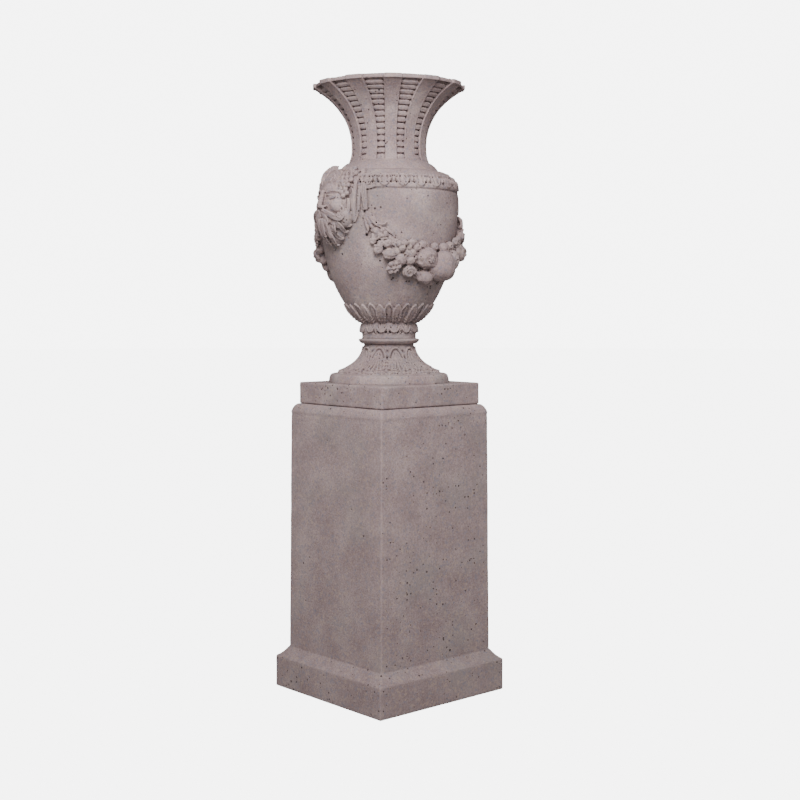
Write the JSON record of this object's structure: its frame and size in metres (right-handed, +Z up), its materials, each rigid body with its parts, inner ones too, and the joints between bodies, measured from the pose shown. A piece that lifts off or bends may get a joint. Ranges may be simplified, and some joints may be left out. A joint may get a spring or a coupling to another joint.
{
  "type": "pedestal with urn",
  "caption": "Square moulded cast-stone pedestal carrying a classical urn with satyr masks, fruit garlands, leaf bands and a ribbed flaring neck.",
  "frame": {"origin": "centre of the pedestal's underside, on the floor", "axes": "+Z up, square to the pedestal's faces; the masks look along +X and -X, the garlands hang on the -Y and +Y sides"},
  "size_m": [0.4394, 0.4, 1.4913],
  "materials": {
    "cast_stone_pedestal": "matt, dry cast, with pinholes",
    "cast_stone_urn": "matt, dry cast, with pinholes"
  },
  "bodies": {
    "root": {"pedestal": "cast_stone_pedestal", "urn": "cast_stone_urn"}
  },
  "joints": []
}
